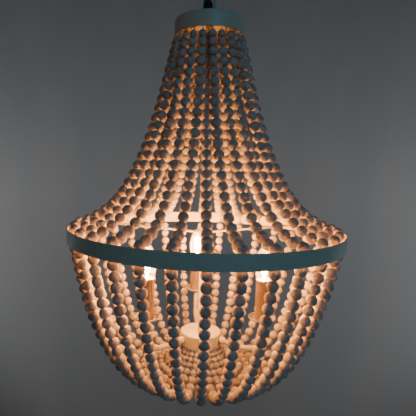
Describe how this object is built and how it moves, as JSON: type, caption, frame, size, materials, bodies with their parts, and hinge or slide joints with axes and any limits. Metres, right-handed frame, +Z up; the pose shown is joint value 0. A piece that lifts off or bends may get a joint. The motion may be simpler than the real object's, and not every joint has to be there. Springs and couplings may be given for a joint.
{
  "type": "beaded candle chandelier",
  "caption": "Hanging chandelier: a crown, a wide ring and strings of wooden beads that form a bell above and a bowl below, around candle lights on curved arms.",
  "frame": {"origin": "centre of the ceiling rose's top face, where it meets the ceiling", "axes": "+Z up, the light hangs down along -Z; -Y is the front, the side the picture was taken from; +X is to the right seen from the front"},
  "size_m": [0.52, 0.52, 0.8038],
  "materials": {
    "white_paint": "satin cream white paint, slightly worn at the edges",
    "rose_wood": "turned wood, painted cream white",
    "bead_wood": "pale whitewashed wood, matt",
    "bare_steel": "plain zinc-plated steel",
    "cord_black": "smooth black sheath",
    "grip_black": "moulded black plastic",
    "porcelain": "white, as glazed porcelain",
    "wax_sleeve": "waxed card sleeve in an aged wax colour",
    "bulb_glass": "clear glass around a warm filament"
  },
  "bodies": {
    "ceiling": {"ceiling_rose": "rose_wood", "ceiling_hook": "bare_steel", "supply_cord": "cord_black"},
    "fixture": {"hanging_loop": "white_paint", "crown_cap": "white_paint", "crown_nut": "bare_steel", "lamp_pipe": "bare_steel", "column_tube": "white_paint", "end_nut": "white_paint", "cord_grip": "grip_black", "main_ring": "white_paint", "spoke_frame": "white_paint", "hub_shell": "white_paint", "strand_plate": "white_paint", "terminal_block": "porcelain", "arm_1": "white_paint", "arm_2": "white_paint", "arm_3": "white_paint", "lampholder_1": "porcelain", "lampholder_2": "porcelain", "lampholder_3": "porcelain", "candle_sleeve_1": "wax_sleeve", "candle_sleeve_2": "wax_sleeve", "candle_sleeve_3": "wax_sleeve", "strand_01": "bead_wood", "strand_02": "bead_wood", "strand_03": "bead_wood", "strand_04": "bead_wood", "strand_05": "bead_wood", "strand_06": "bead_wood", "strand_07": "bead_wood", "strand_08": "bead_wood", "strand_09": "bead_wood", "strand_10": "bead_wood", "strand_11": "bead_wood", "strand_12": "bead_wood", "strand_13": "bead_wood", "strand_14": "bead_wood", "strand_15": "bead_wood", "strand_16": "bead_wood", "strand_17": "bead_wood", "strand_18": "bead_wood", "strand_19": "bead_wood", "strand_20": "bead_wood", "strand_21": "bead_wood", "strand_22": "bead_wood", "strand_23": "bead_wood", "strand_24": "bead_wood", "strand_25": "bead_wood", "strand_26": "bead_wood", "strand_27": "bead_wood", "strand_28": "bead_wood", "strand_29": "bead_wood", "strand_30": "bead_wood", "strand_31": "bead_wood", "strand_32": "bead_wood"},
    "bulb_body_1": {"bulb_1": "bulb_glass"},
    "bulb_body_2": {"bulb_2": "bulb_glass"},
    "bulb_body_3": {"bulb_3": "bulb_glass"}
  },
  "joints": [
    {"name": "swing", "type": "hinge", "parent": "ceiling", "child": "fixture", "pos_m": [0, 0, -0.088], "axis": [0, 1, 0], "range_deg": [-5, 5]},
    {"name": "bulb_lift_1", "type": "slide", "parent": "fixture", "child": "bulb_body_1", "axis": [0, 0, 1], "range_m": [0, 0.03]},
    {"name": "bulb_lift_2", "type": "slide", "parent": "fixture", "child": "bulb_body_2", "axis": [0, 0, 1], "range_m": [0, 0.03]},
    {"name": "bulb_lift_3", "type": "slide", "parent": "fixture", "child": "bulb_body_3", "axis": [0, 0, 1], "range_m": [0, 0.03]}
  ]
}
